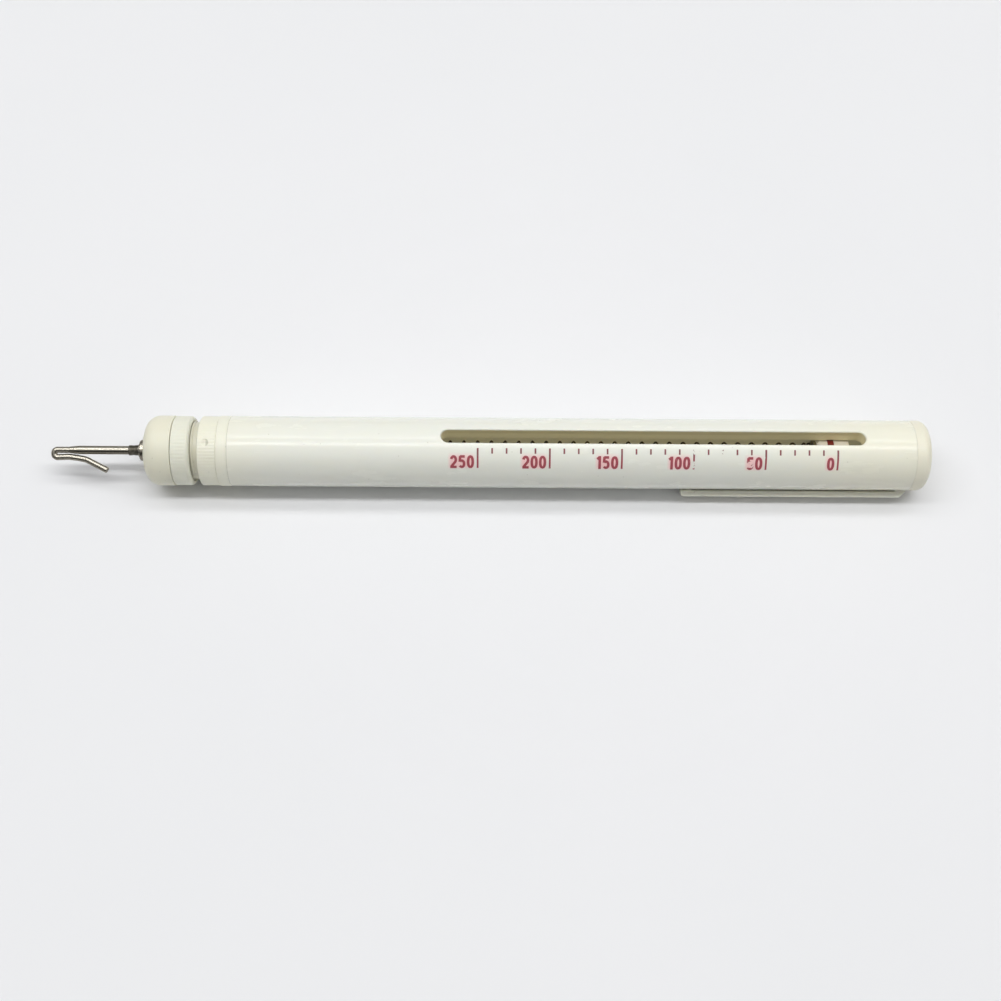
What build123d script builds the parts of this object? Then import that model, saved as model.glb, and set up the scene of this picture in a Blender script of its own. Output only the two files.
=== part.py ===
from build123d import *
import math
import os

# Pen-type spring gauge for the tension of sewing thread, in millimetres.
# The barrel's axis is the X axis. The origin is the centre of the flat rear face, and the hook is
# at the -X end. The window slot faces +Z. The gauge lies on the plane one barrel radius below.
# Angles round the axis are counted from +Z towards -Y, the side that carries the printed scale.

os.makedirs("parts", exist_ok=True)

# Clearances shared by all pieces
fit_clearance = 0.05        # radial, between pieces that are pressed or glued together
run_clearance = 0.08        # radial, between pieces that slide or turn on each other
face_gap = 0.1              # along X, between faces that move on each other
cut_overrun = 1.0           # how far a cutting shape runs past the face that it opens
seam_chamfer = 0.12         # broken edges that show as fine seams between the rings

# Barrel
barrel_diameter = 14.0
barrel_length = 135.25
barrel_wall = 1.5

# Window slot, through the barrel and the guide tube
window_length = 83.3
window_width = 2.8
window_setback = 10.0       # from the barrel's rear end to the window
guide_slot_margin = 0.1     # the slot in the guide tube is wider all round by this

# Guide tube, the liner that the slider runs in
guide_wall = 1.7

# End cap
end_cap_flange_length = 3.25
end_cap_spigot_length = 6.0
end_cap_spigot_wall = 1.7
end_cap_floor = 1.5         # solid depth of the spigot, in front of the flange
end_cap_round = 1.8

# Front bush, the smooth ring at the barrel's front end
bush_flange_length = 2.1
bush_spigot_length = 5.0
bush_wall = 0.85

# Neck collar: knurled ring, threaded neck and a spigot in the bush
collar_step = 0.1           # radial, from the barrel down to the knurl
collar_length = 3.7
collar_ribs = 68
collar_rib_depth = 0.16
collar_edge = 0.3
neck_bore_gap = 0.7         # radial, from the spring to the neck's bore
neck_gap = 1.6              # bare neck between the knurled ring and the lock ring
neck_cap_depth = 2.0        # how far the neck reaches into the nose cap
thread_pitch = 1.0
thread_ridge_radius = 0.28
thread_ridge_height = 0.42
thread_start_angle = 82.0
thread_end_margin = 0.7     # from each end of the neck to the middle of the thread's end
dimple_diameter = 1.5
dimple_depth = 0.22
dimple_angle = 15.0
dimple_setback = 2.1        # from the bush to the dimple's middle

# Lock ring
ring_step = 0.1             # radial, from the barrel down to the ring
ring_wall = 0.88            # from the ring's outside to its bore
ring_length = 3.6
ring_ribs = 60
ring_rib_depth = 0.07
ring_rear_edge = 0.55
thread_clearance = 0.1      # radial, over the crest of the neck's thread

# Nose cap
nose_step = 0.025           # radial, from the barrel down to the cap
nose_length = 5.7
nose_round = 2.7
nose_floor = 2.4            # solid depth behind the flat nose
nose_bush_wall = 0.55       # wall of the metal bush in the cap's middle
nose_bush_flange_diameter = 4.2
nose_bush_flange_length = 1.85
nose_bush_rim = 1.55        # length of the flange's disc; a low lip stands in front of it
nose_bush_rim_round = 0.4
nose_bush_rear_round = 0.15
nose_bush_tip_wall = 0.35

# Pull rod, its stop sleeve and its fixings
rod_diameter = 1.7
rod_reach = 11.9            # from the stop sleeve to the rod's front end
rod_front_taper = 1.9
rod_tail = 0.4              # rod end that stands out of the nut
rod_tail_round = 0.15
sleeve_length = 1.85
sleeve_wall = 0.15
rod_washer_diameter = 3.4
rod_washer_thickness = 0.4
nut_across_flats = 3.0
nut_sides = 6
nut_height = 1.3

# Hook of bent wire, drawn in its own plane: reach is along the rod, drop is away from its axis
wire_diameter = 1.2
hook_plane_angle = 121.0
hook_socket_depth = 3.0
hook_shank_length = 3.1     # from the rod's front end to the middle line of the bend
hook_bend_drop = 1.42       # middle line to middle line across the bend
hook_bend_radius = 0.69
hook_waist_reach = 2.9      # from the bend's middle line back to where the wire comes closest
hook_waist_drop = 1.32
hook_hip_reach = 4.6
hook_hip_drop = 1.56
hook_knee_reach = 6.3
hook_knee_drop = 1.87
hook_tip_reach = 10.6
hook_tip_drop = 4.06
hook_soft_radius = 2.0
hook_tip_round = 0.2

# Slider and red index ring
slider_length = 6.4
slider_clearance = 0.3      # radial, from the slider to the guide tube
slider_setback = 12.35      # from the barrel's rear end to the slider's rear face
slider_front_round = 0.8
slider_rear_round = 0.3
index_length = 1.3
index_clearance = 0.15      # radial, from the red ring to the guide tube
index_edge_round = 0.1
index_groove_depth = 0.35
index_setback = 3.05        # from the slider's rear face to the groove
index_side_gap = 0.02

# Compression spring and the washers at its ends
spring_wire_diameter = 0.4
spring_body_half_turns = 92
spring_start_angle = 23.0   # where the coil's middle line starts at the front end
spring_end_half_turns = 3
spring_end_pitch = 0.96
spring_end_gap = 0.1
seat_bore_gap = 0.3         # radial, from the front washer to the neck's bore
follower_step = 0.55        # radial, from the slider down to the rear washer
seat_thickness = 0.6
seat_boss_length = 1.0
seat_boss_gap = 0.2         # radial, from the boss to the inside of the coil
seat_rod_gap = 0.35         # radial, from the seat's hole to the rod

# Pocket clip, drawn as if it stood on top of the barrel and then turned down to its side
clip_angle = 130.5
clip_width = 3.2
clip_thickness = 1.1
clip_gap = 0.3              # from the barrel to the inside of the arm
clip_reach = 45.3           # from the barrel's rear end to the tip
clip_setback = 0.15         # from the barrel's rear end to the foot
clip_foot_length = 2.2
clip_foot_depth = 1.25      # how far the foot goes into the barrel's wall
clip_heel_lift = 0.15       # height over the barrel at which the sloping heel starts
clip_notch_gap = 0.15       # between the foot and the sides of its notch in the barrel
clip_edge_round = 0.35
clip_tip_round = 0.45
clip_heel_round = 0.4
clip_inner_round = 0.3
clip_bump_radius = 0.8
clip_bump_gap = 0.1         # from the barrel to the bump under the tip
clip_bump_setback = 1.6     # from the tip to the bump

# Radii worked out from the sizes above
barrel_radius = barrel_diameter / 2
barrel_bore_radius = barrel_radius - barrel_wall
spigot_radius = barrel_bore_radius - fit_clearance
guide_bore_radius = spigot_radius - guide_wall
bush_bore_radius = spigot_radius - bush_wall
neck_spigot_radius = bush_bore_radius - fit_clearance
collar_radius = barrel_radius - collar_step
ring_radius = barrel_radius - ring_step
nose_radius = barrel_radius - nose_step
thread_bore_radius = ring_radius - ring_wall
neck_crest_radius = thread_bore_radius - thread_clearance
neck_root_radius = neck_crest_radius - thread_ridge_height
rod_radius = rod_diameter / 2
spring_wire_radius = spring_wire_diameter / 2
spring_coil_radius = (rod_radius + guide_bore_radius) / 2
neck_bore_radius = spring_coil_radius + spring_wire_radius + neck_bore_gap
rod_fit_radius = rod_radius + fit_clearance / 2
nose_bush_bore_radius = rod_radius + run_clearance
nose_bush_radius = nose_bush_bore_radius + nose_bush_wall
sleeve_radius = rod_fit_radius + sleeve_wall
wire_radius = wire_diameter / 2
seat_boss_radius = spring_coil_radius - spring_wire_radius - seat_boss_gap
seat_radius = neck_bore_radius - seat_bore_gap
slider_radius = guide_bore_radius - slider_clearance
follower_radius = slider_radius - follower_step
index_radius = guide_bore_radius - index_clearance
index_groove_radius = slider_radius - index_groove_depth

# Places along X worked out from the sizes above, from the rear end to the hook
barrel_rear_x = -end_cap_flange_length
barrel_front_x = barrel_rear_x - barrel_length
window_middle_x = barrel_rear_x - window_setback - window_length / 2
guide_rear_x = barrel_rear_x - end_cap_spigot_length
guide_front_x = barrel_front_x + bush_spigot_length
bush_front_x = barrel_front_x - bush_flange_length
collar_front_x = bush_front_x - collar_length
ring_rear_x = collar_front_x - neck_gap
ring_front_x = ring_rear_x - ring_length
nose_rear_x = ring_front_x - face_gap
nose_front_x = nose_rear_x - nose_length
nose_floor_x = nose_front_x + nose_floor
neck_front_x = nose_rear_x - neck_cap_depth
nose_bush_front_x = nose_front_x - nose_bush_flange_length
sleeve_rear_x = nose_bush_front_x - face_gap
sleeve_front_x = sleeve_rear_x - sleeve_length
rod_front_x = sleeve_front_x - rod_reach
hook_bend_x = rod_front_x - hook_shank_length
seat_front_x = nose_floor_x + face_gap / 2
seat_rear_x = seat_front_x + seat_thickness
slider_rear_x = barrel_rear_x - slider_setback
slider_front_x = slider_rear_x - slider_length
index_rear_x = slider_rear_x - index_setback
index_front_x = index_rear_x - index_length
follower_front_x = slider_front_x - seat_thickness
rod_washer_rear_x = slider_rear_x + rod_washer_thickness
nut_rear_x = rod_washer_rear_x + nut_height
rod_rear_x = nut_rear_x + rod_tail


def turned(*corners):
    """A body turned about X. Each corner is (x, radius), or (x, radius, rounding)."""
    points = [corner[:2] for corner in corners]
    roundings = [corner[2] if len(corner) > 2 else 0 for corner in corners]
    outline = FilletPolyline(*points, radius=roundings, close=True)
    return revolve(make_face(outline), axis=Axis.X)


def sleeve(rear_x, front_x, inner_radius, outer_radius, rear_round=0, front_round=0):
    """A plain tube from front_x to rear_x, with its two outer edges rounded."""
    return turned(
        (rear_x, inner_radius),
        (rear_x, outer_radius, rear_round),
        (front_x, outer_radius, front_round),
        (front_x, inner_radius),
    )


def slot_cutter(length, width):
    """A round-ended bar over the window, from the axis to past the barrel's outside."""
    slot = Pos(window_middle_x, 0) * SlotOverall(length, width)
    return extrude(slot, amount=barrel_radius + cut_overrun)


def ribbed_blank(rear_x, front_x, radius, ribs, depth):
    """A bar along X whose outside has straight ribs: flat lands with V grooves between them."""
    land_share = 0.3
    step = 2 * math.pi / ribs
    points = []
    for rib in range(ribs):
        middle = rib * step
        for turn, reach in (
            (-land_share * step, radius),
            (land_share * step, radius),
            (step / 2, radius - depth),
        ):
            points.append((reach * math.cos(middle + turn), reach * math.sin(middle + turn)))
    face = make_face(Polyline(*points, close=True))
    return extrude(Plane.YZ.offset(front_x) * face, amount=rear_x - front_x)


def ribbed_ring(rear_x, front_x, inner_radius, radius, ribs, depth, rear_edge, front_edge):
    """A ribbed tube whose two outer edges are broken at 45 degrees."""
    trimmer = turned(
        (rear_x, inner_radius),
        (rear_x, radius - rear_edge),
        (rear_x - rear_edge - depth, radius + depth),
        (front_x + front_edge + depth, radius + depth),
        (front_x, radius - front_edge),
        (front_x, inner_radius),
    )
    return ribbed_blank(rear_x, front_x, radius, ribs, depth) & trimmer


def coil_nodes(start_x, start_angle, radius, pitches):
    """Points and directions at each half turn of a right-hand coil, one pitch per half turn."""
    places = [start_x]
    for pitch in pitches:
        places.append(places[-1] + pitch / 2)
    nodes = []
    for index, x in enumerate(places):
        before, after = max(index - 1, 0), min(index + 1, len(places) - 1)
        rise = (places[after] - places[before]) / ((after - before) * math.pi)
        angle = start_angle + index * math.pi
        point = Vector(x, radius * math.cos(angle), radius * math.sin(angle))
        ahead = Vector(rise, -radius * math.sin(angle), radius * math.cos(angle))
        nodes.append((point, ahead.normalized()))
    return nodes


def biarc(start, start_ahead, end, end_ahead):
    """Two arcs from start to end that meet halfway and follow both end directions."""
    chord = end - start
    both = start_ahead + end_ahead
    square = 4 - both.dot(both)
    half = chord.dot(both)
    reach = (math.sqrt(half * half + square * chord.dot(chord)) - half) / square
    middle = (start + start_ahead * reach + end - end_ahead * reach) / 2
    first = TangentArc(start, middle, tangent=start_ahead)
    second = TangentArc(middle, end, tangent=first % 1)
    return [first, second]


def coil_path(nodes, tail):
    """The coil's middle line: a biarc for each half turn, and a straight tail at each end."""
    first_point, first_ahead = nodes[0]
    last_point, last_ahead = nodes[-1]
    edges = [Line(first_point - first_ahead * tail, first_point)]
    for (start, start_ahead), (end, end_ahead) in zip(nodes, nodes[1:]):
        edges += biarc(start, start_ahead, end, end_ahead)
    edges.append(Line(last_point, last_point + last_ahead * tail))
    return edges


def round_bar(edges, radius):
    """A round bar of the given radius along the edges, which follow on smoothly."""
    path = Wire(edges)
    section = Plane(origin=path @ 0, z_dir=path % 0) * Circle(radius)
    return sweep(section, path=path)


def least_coil_gap(edges, wire):
    """The least gap of a coil to itself, measured on points of its middle line."""
    samples = 6
    per_turn = 4 * samples
    points = [edge @ (step / samples) for edge in edges for step in range(samples)]
    gaps = []
    for index, point in enumerate(points):
        for other in points[index + per_turn // 2: index + 2 * per_turn]:
            gaps.append((other - point).length - wire)
    return min(gaps)


def barrel():
    tube = sleeve(
        barrel_rear_x, barrel_front_x, barrel_bore_radius, barrel_radius, seam_chamfer, seam_chamfer
    )
    notch_length = clip_setback + clip_foot_length + clip_notch_gap
    notch = Pos(
        barrel_rear_x - notch_length + (notch_length + cut_overrun) / 2, 0, barrel_radius
    ) * Box(
        notch_length + cut_overrun,
        clip_width + 2 * clip_notch_gap,
        2 * (barrel_radius - barrel_bore_radius) + cut_overrun,
    )
    return tube - slot_cutter(window_length, window_width) - Rot(X=clip_angle) * notch


def guide_tube():
    tube = sleeve(guide_rear_x, guide_front_x, guide_bore_radius, spigot_radius)
    return tube - slot_cutter(
        window_length + 2 * guide_slot_margin, window_width + 2 * guide_slot_margin
    )


def end_cap():
    """Flange that closes the rear end, and a cup-shaped spigot that holds the guide tube."""
    cup_radius = spigot_radius - end_cap_spigot_wall
    cup_floor_x = barrel_rear_x - end_cap_floor
    return turned(
        (0, 0),
        (0, barrel_radius, end_cap_round),
        (barrel_rear_x, barrel_radius, seam_chamfer),
        (barrel_rear_x, spigot_radius),
        (guide_rear_x, spigot_radius),
        (guide_rear_x, cup_radius),
        (cup_floor_x, cup_radius),
        (cup_floor_x, 0),
    )


def front_bush():
    return turned(
        (guide_front_x, bush_bore_radius),
        (guide_front_x, spigot_radius),
        (barrel_front_x, spigot_radius),
        (barrel_front_x, barrel_radius, seam_chamfer),
        (bush_front_x, barrel_radius, seam_chamfer),
        (bush_front_x, bush_bore_radius),
    )


def neck_collar():
    """Knurled ring, the neck with its round thread in front of it, and a spigot behind it."""
    knurl = ribbed_ring(
        bush_front_x,
        collar_front_x,
        neck_bore_radius,
        collar_radius,
        collar_ribs,
        collar_rib_depth,
        collar_edge,
        collar_edge,
    )
    core = sleeve(guide_front_x, collar_front_x, neck_bore_radius, neck_spigot_radius)
    neck = sleeve(collar_front_x, neck_front_x, neck_bore_radius, neck_root_radius, 0, seam_chamfer)
    start_x = neck_front_x + thread_end_margin
    turns = (collar_front_x - thread_end_margin - start_x) / thread_pitch
    half_turns = int(2 * turns)
    nodes = coil_nodes(
        start_x,
        math.radians(90 + thread_start_angle - 180 * half_turns),
        neck_crest_radius - thread_ridge_radius,
        [thread_pitch] * half_turns,
    )
    thread = round_bar(coil_path(nodes, thread_ridge_radius), thread_ridge_radius)
    ball_radius = ((dimple_diameter / 2) ** 2 + dimple_depth ** 2) / (2 * dimple_depth)
    dimple = Rot(X=dimple_angle) * Pos(
        bush_front_x - dimple_setback, 0, collar_radius - dimple_depth + ball_radius
    ) * Sphere(ball_radius)
    return knurl + core + neck + thread - dimple


def lock_ring():
    return ribbed_ring(
        ring_rear_x,
        ring_front_x,
        thread_bore_radius,
        ring_radius,
        ring_ribs,
        ring_rib_depth,
        ring_rear_edge,
        seam_chamfer,
    )


def nose_cap():
    hole_radius = nose_bush_radius + fit_clearance
    return turned(
        (nose_rear_x, thread_bore_radius),
        (nose_rear_x, nose_radius, seam_chamfer),
        (nose_front_x, nose_radius, nose_round),
        (nose_front_x, hole_radius),
        (nose_floor_x, hole_radius),
        (nose_floor_x, thread_bore_radius),
    )


def nose_bush():
    """Metal eyelet that guides the rod: a tube through the cap, with a disc and a lip in front."""
    rim_x = nose_front_x - nose_bush_rim
    lip_radius = nose_bush_bore_radius + nose_bush_tip_wall
    return turned(
        (nose_floor_x, nose_bush_bore_radius),
        (nose_floor_x, nose_bush_radius),
        (nose_front_x, nose_bush_radius),
        (nose_front_x, nose_bush_flange_diameter / 2, nose_bush_rear_round),
        (rim_x, nose_bush_flange_diameter / 2, nose_bush_rim_round),
        (rim_x, lip_radius),
        (nose_bush_front_x, lip_radius),
        (nose_bush_front_x, nose_bush_bore_radius),
    )


def washer_with_boss(flat_x, boss_side, radius, hole_radius):
    """A washer whose flat face is at flat_x. Its boss points along X on the side boss_side."""
    step_x = flat_x + boss_side * seat_thickness
    boss_x = step_x + boss_side * seat_boss_length
    return turned(
        (flat_x, hole_radius),
        (flat_x, radius),
        (step_x, radius),
        (step_x, seat_boss_radius),
        (boss_x, seat_boss_radius, seat_boss_gap),
        (boss_x, hole_radius),
    )


def spring():
    """The compression spring: its last coils at each end lie closer than the others."""
    start_x = seat_rear_x + spring_end_gap + spring_wire_radius
    end_x = follower_front_x - spring_end_gap - spring_wire_radius
    ends = spring_end_half_turns * spring_end_pitch
    body_pitch = 2 * (end_x - start_x - ends) / spring_body_half_turns
    closed = [spring_end_pitch] * spring_end_half_turns
    pitches = closed + [body_pitch] * spring_body_half_turns + closed
    nodes = coil_nodes(start_x, math.radians(90 + spring_start_angle), spring_coil_radius, pitches)
    edges = coil_path(nodes, spring_wire_diameter)
    print("spring: body pitch", round(body_pitch, 3))
    print("spring: least gap to itself", round(least_coil_gap(edges, spring_wire_diameter), 3))
    return round_bar(edges, spring_wire_radius)


def pull_rod():
    socket_x = rod_front_x + hook_socket_depth
    socket_radius = wire_radius + fit_clearance / 2
    return turned(
        (rod_rear_x, 0),
        (rod_rear_x, rod_radius, rod_tail_round),
        (rod_front_x + rod_front_taper, rod_radius),
        (rod_front_x, wire_radius + fit_clearance),
        (rod_front_x, socket_radius),
        (socket_x, socket_radius),
        (socket_x, 0),
    )


def stop_sleeve():
    edge = sleeve_wall / 2
    return sleeve(sleeve_rear_x, sleeve_front_x, rod_fit_radius, sleeve_radius, edge, edge)


def hook():
    """Bent wire: a shank in the rod, a tight bend, and a leg that nears the shank and turns out."""
    def place(reach, drop):
        return Vector(hook_bend_x + reach, 0, drop)

    shank_rear = hook_shank_length + hook_socket_depth - face_gap
    path = FilletPolyline(
        place(shank_rear, 0),
        place(0, 0),
        place(0, hook_bend_drop),
        place(hook_waist_reach, hook_waist_drop),
        place(hook_hip_reach, hook_hip_drop),
        place(hook_knee_reach, hook_knee_drop),
        place(hook_tip_reach, hook_tip_drop),
        radius=[
            hook_bend_radius, hook_bend_radius, hook_soft_radius, hook_soft_radius, hook_soft_radius
        ],
    )
    wire = round_bar(path.edges(), wire_radius)
    tip_face = wire.faces().filter_by(GeomType.PLANE).sort_by(Axis.Z)[-1]
    wire = fillet(tip_face.edges(), hook_tip_round)
    return Rot(X=hook_plane_angle) * wire


def slider():
    """White carrier on the rod's rear end, with a groove round it for the red ring."""
    return turned(
        (slider_rear_x, rod_fit_radius),
        (slider_rear_x, slider_radius, slider_rear_round),
        (index_rear_x, slider_radius),
        (index_rear_x, index_groove_radius),
        (index_front_x, index_groove_radius),
        (index_front_x, slider_radius),
        (slider_front_x, slider_radius, slider_front_round),
        (slider_front_x, rod_fit_radius),
    )


def index_ring():
    return sleeve(
        index_rear_x - index_side_gap,
        index_front_x + index_side_gap,
        index_groove_radius + index_side_gap,
        index_radius,
        index_edge_round,
        index_edge_round,
    )


def rod_washer():
    edge = rod_washer_thickness / 4
    return sleeve(
        rod_washer_rear_x, slider_rear_x, rod_fit_radius, rod_washer_diameter / 2, edge, edge
    )


def rod_nut():
    hexagon = Plane.YZ.offset(rod_washer_rear_x) * RegularPolygon(
        nut_across_flats / 2, side_count=nut_sides, major_radius=False
    )
    corner_radius = nut_across_flats / 2 / math.cos(math.pi / nut_sides)
    blank = extrude(hexagon, amount=nut_height)
    return blank & sleeve(
        nut_rear_x,
        rod_washer_rear_x,
        rod_fit_radius,
        corner_radius,
        corner_radius - nut_across_flats / 2,
        corner_radius - nut_across_flats / 2,
    )


def pocket_clip():
    """Flat springy arm with a heel that slopes to the barrel and a foot in the barrel's notch."""
    inner_z = barrel_radius + clip_gap
    outer_z = inner_z + clip_thickness
    foot_z = barrel_radius - clip_foot_depth
    heel_z = barrel_radius + clip_heel_lift
    foot_rear_x = barrel_rear_x - clip_setback
    foot_front_x = foot_rear_x - clip_foot_length
    heel_x = foot_rear_x - (outer_z - heel_z)
    tip_x = barrel_rear_x - clip_reach
    corners = (
        ((foot_rear_x, foot_z), 0),
        ((foot_rear_x, heel_z), 0),
        ((heel_x, outer_z), clip_heel_round),
        ((tip_x, outer_z), clip_tip_round),
        ((tip_x, inner_z), clip_inner_round),
        ((foot_front_x, inner_z), clip_inner_round),
        ((foot_front_x, foot_z), 0),
    )
    points = [Vector(x, 0, z) for (x, z), _ in corners]
    outline = FilletPolyline(*points, radius=[rounding for _, rounding in corners], close=True)
    arm = extrude(make_face(outline), amount=clip_width / 2, dir=(0, 1, 0), both=True)
    long_edges = arm.edges().filter_by(Axis.X).group_by(Axis.Z)[-1]
    arm = fillet(long_edges, clip_edge_round)
    bump = Pos(
        tip_x + clip_bump_setback, 0, barrel_radius + clip_bump_gap + clip_bump_radius
    ) * Rot(X=90) * Cylinder(clip_bump_radius, clip_width - 2 * clip_edge_round)
    return Rot(X=clip_angle) * (arm + bump)


pieces = {
    "barrel": barrel(),
    "guide_tube": guide_tube(),
    "end_cap": end_cap(),
    "pocket_clip": pocket_clip(),
    "front_bush": front_bush(),
    "neck_collar": neck_collar(),
    "lock_ring": lock_ring(),
    "nose_cap": nose_cap(),
    "nose_bush": nose_bush(),
    "spring_seat": washer_with_boss(seat_front_x, 1, seat_radius, rod_radius + seat_rod_gap),
    "spring": spring(),
    "spring_follower": washer_with_boss(slider_front_x, -1, follower_radius, rod_fit_radius),
    "pull_rod": pull_rod(),
    "stop_sleeve": stop_sleeve(),
    "hook": hook(),
    "slider": slider(),
    "index_ring": index_ring(),
    "rod_washer": rod_washer(),
    "rod_nut": rod_nut(),
}

for name, solid in pieces.items():
    export_step(solid, f"parts/{name}.step")
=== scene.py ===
import bpy
import math
import numpy as np
from mathutils import Matrix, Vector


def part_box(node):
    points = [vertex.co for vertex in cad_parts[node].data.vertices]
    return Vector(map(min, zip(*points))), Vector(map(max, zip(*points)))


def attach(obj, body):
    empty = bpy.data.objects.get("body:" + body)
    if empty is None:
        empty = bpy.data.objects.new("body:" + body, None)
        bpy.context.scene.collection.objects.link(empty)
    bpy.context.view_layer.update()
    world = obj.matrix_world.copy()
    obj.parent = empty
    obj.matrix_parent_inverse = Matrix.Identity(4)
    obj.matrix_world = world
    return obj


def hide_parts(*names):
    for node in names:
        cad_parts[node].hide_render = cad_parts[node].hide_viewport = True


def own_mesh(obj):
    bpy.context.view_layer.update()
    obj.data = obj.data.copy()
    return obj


# Pen-type thread tension gauge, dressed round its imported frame.
# The sizes below are in millimetres. Meshes are stored in metres, as the frame is.
# Angles round the barrel's axis are counted from +Z towards -Y, the side with the printed scale.

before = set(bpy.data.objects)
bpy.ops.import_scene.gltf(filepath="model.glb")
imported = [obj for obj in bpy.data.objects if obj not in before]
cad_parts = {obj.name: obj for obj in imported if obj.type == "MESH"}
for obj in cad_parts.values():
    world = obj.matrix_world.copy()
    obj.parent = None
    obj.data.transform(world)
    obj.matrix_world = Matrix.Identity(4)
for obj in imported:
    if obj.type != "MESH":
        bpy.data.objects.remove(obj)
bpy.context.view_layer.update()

MM = 0.001
WELD = 0.0001
FULL_TURN = 2 * math.pi


def reach(node):
    """Front x, rear x and outer radius of a frame node that is round about the X axis."""
    low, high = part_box(node)
    return low.x / MM, high.x / MM, high.y / MM


# Places read from the frame
barrel_front, barrel_rear, barrel_radius = reach("barrel")
liner_front, liner_rear, liner_radius = reach("guide_tube")
cap_front, _, _ = reach("end_cap")
bush_front, bush_rear, _ = reach("front_bush")
neck_front, collar_rear, _ = reach("neck_collar")
ring_front, ring_rear, _ = reach("lock_ring")
nose_front, nose_rear, nose_radius = reach("nose_cap")
eyelet_front, eyelet_rear, eyelet_radius = reach("nose_bush")
sleeve_front, sleeve_rear, sleeve_radius = reach("stop_sleeve")
rod_front, rod_rear, rod_radius = reach("pull_rod")
slider_front, slider_rear, slider_radius = reach("slider")
index_front, index_rear, index_radius = reach("index_ring")
spring_front, spring_rear, spring_radius = reach("spring")

# Walls and bores
barrel_wall = 1.5
liner_wall = 1.7
spigot_clearance = 0.05
bush_wall = 0.85
ring_step = 0.1             # from the barrel's radius down to the knurl and the lock ring
barrel_bore = barrel_radius - barrel_wall
collar_radius = ring_radius = barrel_radius - ring_step
liner_bore = liner_radius - liner_wall
bush_bore = liner_radius - bush_wall

# Neck, its thread and the dimple in the knurl
neck_bore = 3.2
neck_spigot = bush_bore - spigot_clearance
collar_length = 3.7
collar_front = bush_front - collar_length
collar_ribs = 68
collar_rib_depth = 0.05
thread_pitch = 1.0
thread_end_angle = 82.0     # where the thread runs out behind the lock ring
thread_end_setback = 1.1    # from the knurled ring to there
thread_clearance = 0.1
thread_height = 0.22
ring_wall = 0.88
thread_end = collar_front - thread_end_setback
thread_bore = ring_radius - ring_wall
neck_crest_radius = thread_bore - thread_clearance
neck_root = neck_crest_radius - thread_height
dimple_setback = 2.1        # from the smooth ring to the dimple's middle
dimple_x = bush_front - dimple_setback
dimple_angle = 15.0
dimple_radius = 0.75
dimple_depth = 0.2

# Lock ring and nose cap
ring_ribs = 60
ring_rib_depth = 0.032
ring_rear_round = 0.8
nose_round = 2.7
nose_thickness = 2.4        # of the cap's front wall
nose_floor = nose_front + nose_thickness
eyelet_body_radius = 1.48
eyelet_bore = 0.93
eyelet_lip_wall = 0.35
eyelet_reach = 1.55         # of its broad part in front of the cap
eyelet_face = nose_front - eyelet_reach
eyelet_seat = eyelet_body_radius + spigot_clearance

# End cap
cap_round = 1.8
cap_floor_setback = 1.5     # from the barrel's rear end to the floor of the cap's cup
cup_wall = 1.7
cap_floor = barrel_rear - cap_floor_setback
cup_radius = liner_radius - cup_wall

# Rod, sleeve, hook and slider
rod_front_taper = 1.9
rod_fit_radius = 0.875
rod_tip_wall = 0.03         # round the hook's wire at the rod's front end
crimp_places = (0.6, 0.8)   # start and end of the crimp's slope, from each end of the sleeve
crimp_depth = 0.05
wire_radius = 0.62
hook_plane_angle = 121.0
hook_bend_radius = 0.69
hook_soft_radius = 2.0
hook_route = [              # (distance back from the bend, distance from the rod's axis, rounding)
    (4.0, 0.0, 0.0),
    (0.0, 0.0, hook_bend_radius),
    (0.0, 1.5, hook_bend_radius),
    (2.9, 1.38, hook_soft_radius),
    (4.6, 1.58, hook_soft_radius),
    (6.4, 1.92, hook_soft_radius),
    (10.6, 4.08, 0.0),
]
index_groove_depth = 0.35
index_groove_radius = slider_radius - index_groove_depth
index_play = 0.02           # between the red ring and each side of its groove

# Spring
spring_wire_radius = 0.2
spring_wire_round = 0.04
body_half_turns = 92
spring_start_angle = 23.0   # where the wire's middle line starts at the front end
end_half_turns = 3
end_pitch = 0.96

# Pocket clip
clip_angle = 130.5
clip_width = 3.2
clip_thickness = 1.28
clip_gap = 0.13
clip_foot_length = 2.2
clip_foot_depth = 1.25
clip_heel_lift = 0.15
clip_bead_places = (0.95, 1.35, 1.95, 2.35)     # corners of the bead under the tip, from the tip
clip_bead_height = 0.2
clip_edge = 0.35

# Window slot
window_length = 83.3
window_width = 2.8
window_setback = 10.0       # from the barrel's rear end to the window
window_edge_round = 0.4
seam_edge = 0.09            # rounding where the barrel meets the end cap and the smooth ring
liner_edge = 0.12
liner_slot_margin = 0.1
window_rear = barrel_rear - window_setback
window_front = window_rear - window_length

# Printed scale
scale_zero_x = -18.86
scale_major_step = 14.1
scale_major_count = 6
scale_minor_per_major = 5
scale_units_per_major = 50
tick_start_angle = 21.2
minor_end_angle = 30.0
major_end_angle = 54.0
digit_base_angle = 54.5
major_tick_width = 0.36
minor_tick_width = 0.33
digit_height = 2.65
digit_width = 1.42
digit_pitch = 1.65
digit_stroke = 0.52
digit_gap = 0.52            # from the last digit to its tick
ink_depth = 0.012
tick_points = 9
one_inset = 0.6             # free space left of a 1 in its cell
worn_places = [             # (x, angle, size) of the patches where the ink is rubbed off
    (-36.0, 45.5, 1.0),
    (-47.0, 46.0, 1.0),
    (-47.1, 25.0, 0.7),
    (-41.4, 25.0, 0.9),
]

# Light that soaks through the plastic into the window, which plain shading leaves out
wall_glow = (0.032, 0.035, 0.032, 1.0)
liner_glow = (0.068, 0.069, 0.054, 1.0)

# Painted dark reflection on the metal's low side, in a brown tone, and the way that side faces: down and
# towards -Y
low_side_reflection_tone = (0.115, 0.1, 0.075, 1.0)
low_side = np.array([0.0, -0.878, -0.479])

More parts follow.
